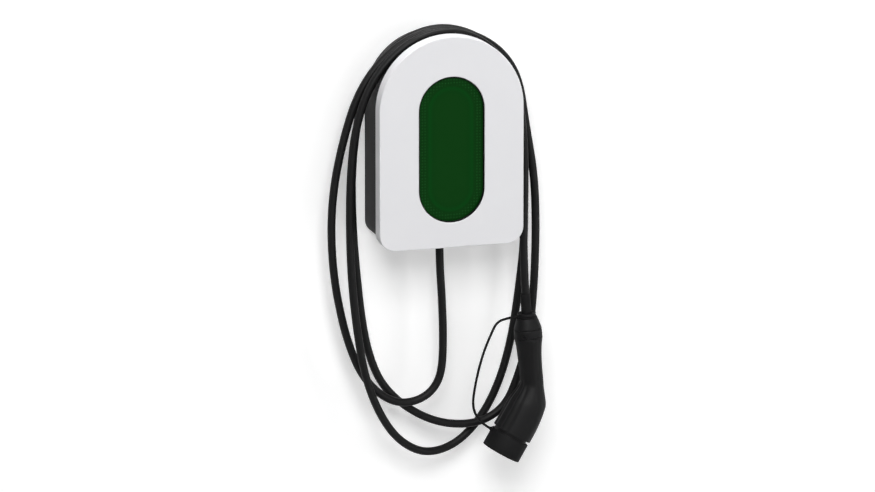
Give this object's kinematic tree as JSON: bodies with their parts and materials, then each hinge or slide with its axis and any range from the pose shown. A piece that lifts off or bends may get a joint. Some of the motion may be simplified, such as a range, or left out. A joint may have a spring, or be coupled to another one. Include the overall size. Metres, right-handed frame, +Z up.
{
  "type": "electric vehicle wall charger",
  "caption": "Arch-shaped wall charger with an oval window, a charging lead looped over its casing and a hand connector with a pull-off cap",
  "frame": {"origin": "centre of the four wall screws, on the wall plane behind the bracket", "axes": "+Z up, +Y into the wall, the unit stands out towards -Y, +X to the right as seen by a person in front of it"},
  "size_m": [0.3416, 0.118, 0.693],
  "materials": {
    "bracket_steel": "satin",
    "grey_plastic": "matt",
    "white_plastic": "satin",
    "green_window": "gloss",
    "clear_guide": "gloss",
    "circuit_board": "satin",
    "lamp_body": "gloss",
    "terminal_plastic": "matt",
    "component_black": "matt",
    "can_aluminium": "satin",
    "screw_steel": "satin",
    "contact_brass": "satin",
    "black_rubber": "matt",
    "gland_plastic": "matt",
    "core_insulation": "satin",
    "lead_sheath": "satin",
    "handle_plastic": "matt",
    "nose_plastic": "satin",
    "cap_plastic": "matt"
  },
  "bodies": {
    "unit": {"wall_bracket": "bracket_steel", "rear_casing": "grey_plastic", "casing_gasket": "black_rubber", "inner_cover": "grey_plastic", "inner_cover_screws": "screw_steel", "front_cover": "white_plastic", "cover_screws": "screw_steel", "lock_screw": "screw_steel", "window_lens": "green_window", "light_guide": "clear_guide", "led_board": "circuit_board", "status_leds": "lamp_body", "power_board": "circuit_board", "board_screws": "screw_steel", "supply_terminals": "terminal_plastic", "output_terminals": "terminal_plastic", "terminal_screws": "screw_steel", "relays": "component_black", "current_sensor": "component_black", "power_supply": "component_black", "capacitors": "can_aluminium", "board_spacers": "contact_brass", "control_board": "circuit_board", "radio_module": "can_aluminium", "supply_grommet": "black_rubber", "gland_body": "gland_plastic", "gland_seal": "black_rubber", "gland_nut": "gland_plastic", "gland_locknut": "gland_plastic", "lead_cores": "core_insulation", "charge_lead": "lead_sheath", "strain_sleeve": "black_rubber", "connector_collar": "handle_plastic", "tether_ring": "black_rubber", "handle_nut": "handle_plastic", "lead_clamp": "component_black", "handle_screws": "screw_steel", "grip_shell": "handle_plastic", "contact_nose": "nose_plastic", "power_contacts": "contact_brass", "signal_contacts": "contact_brass", "connector_cores": "core_insulation", "cap_tether": "black_rubber"},
    "cap": {"protective_cap": "cap_plastic"}
  },
  "joints": [
    {"name": "cap_slide", "type": "slide", "parent": "unit", "child": "cap", "axis": [-0.506, 0, -0.8625], "range_m": [0, 0.034]}
  ]
}
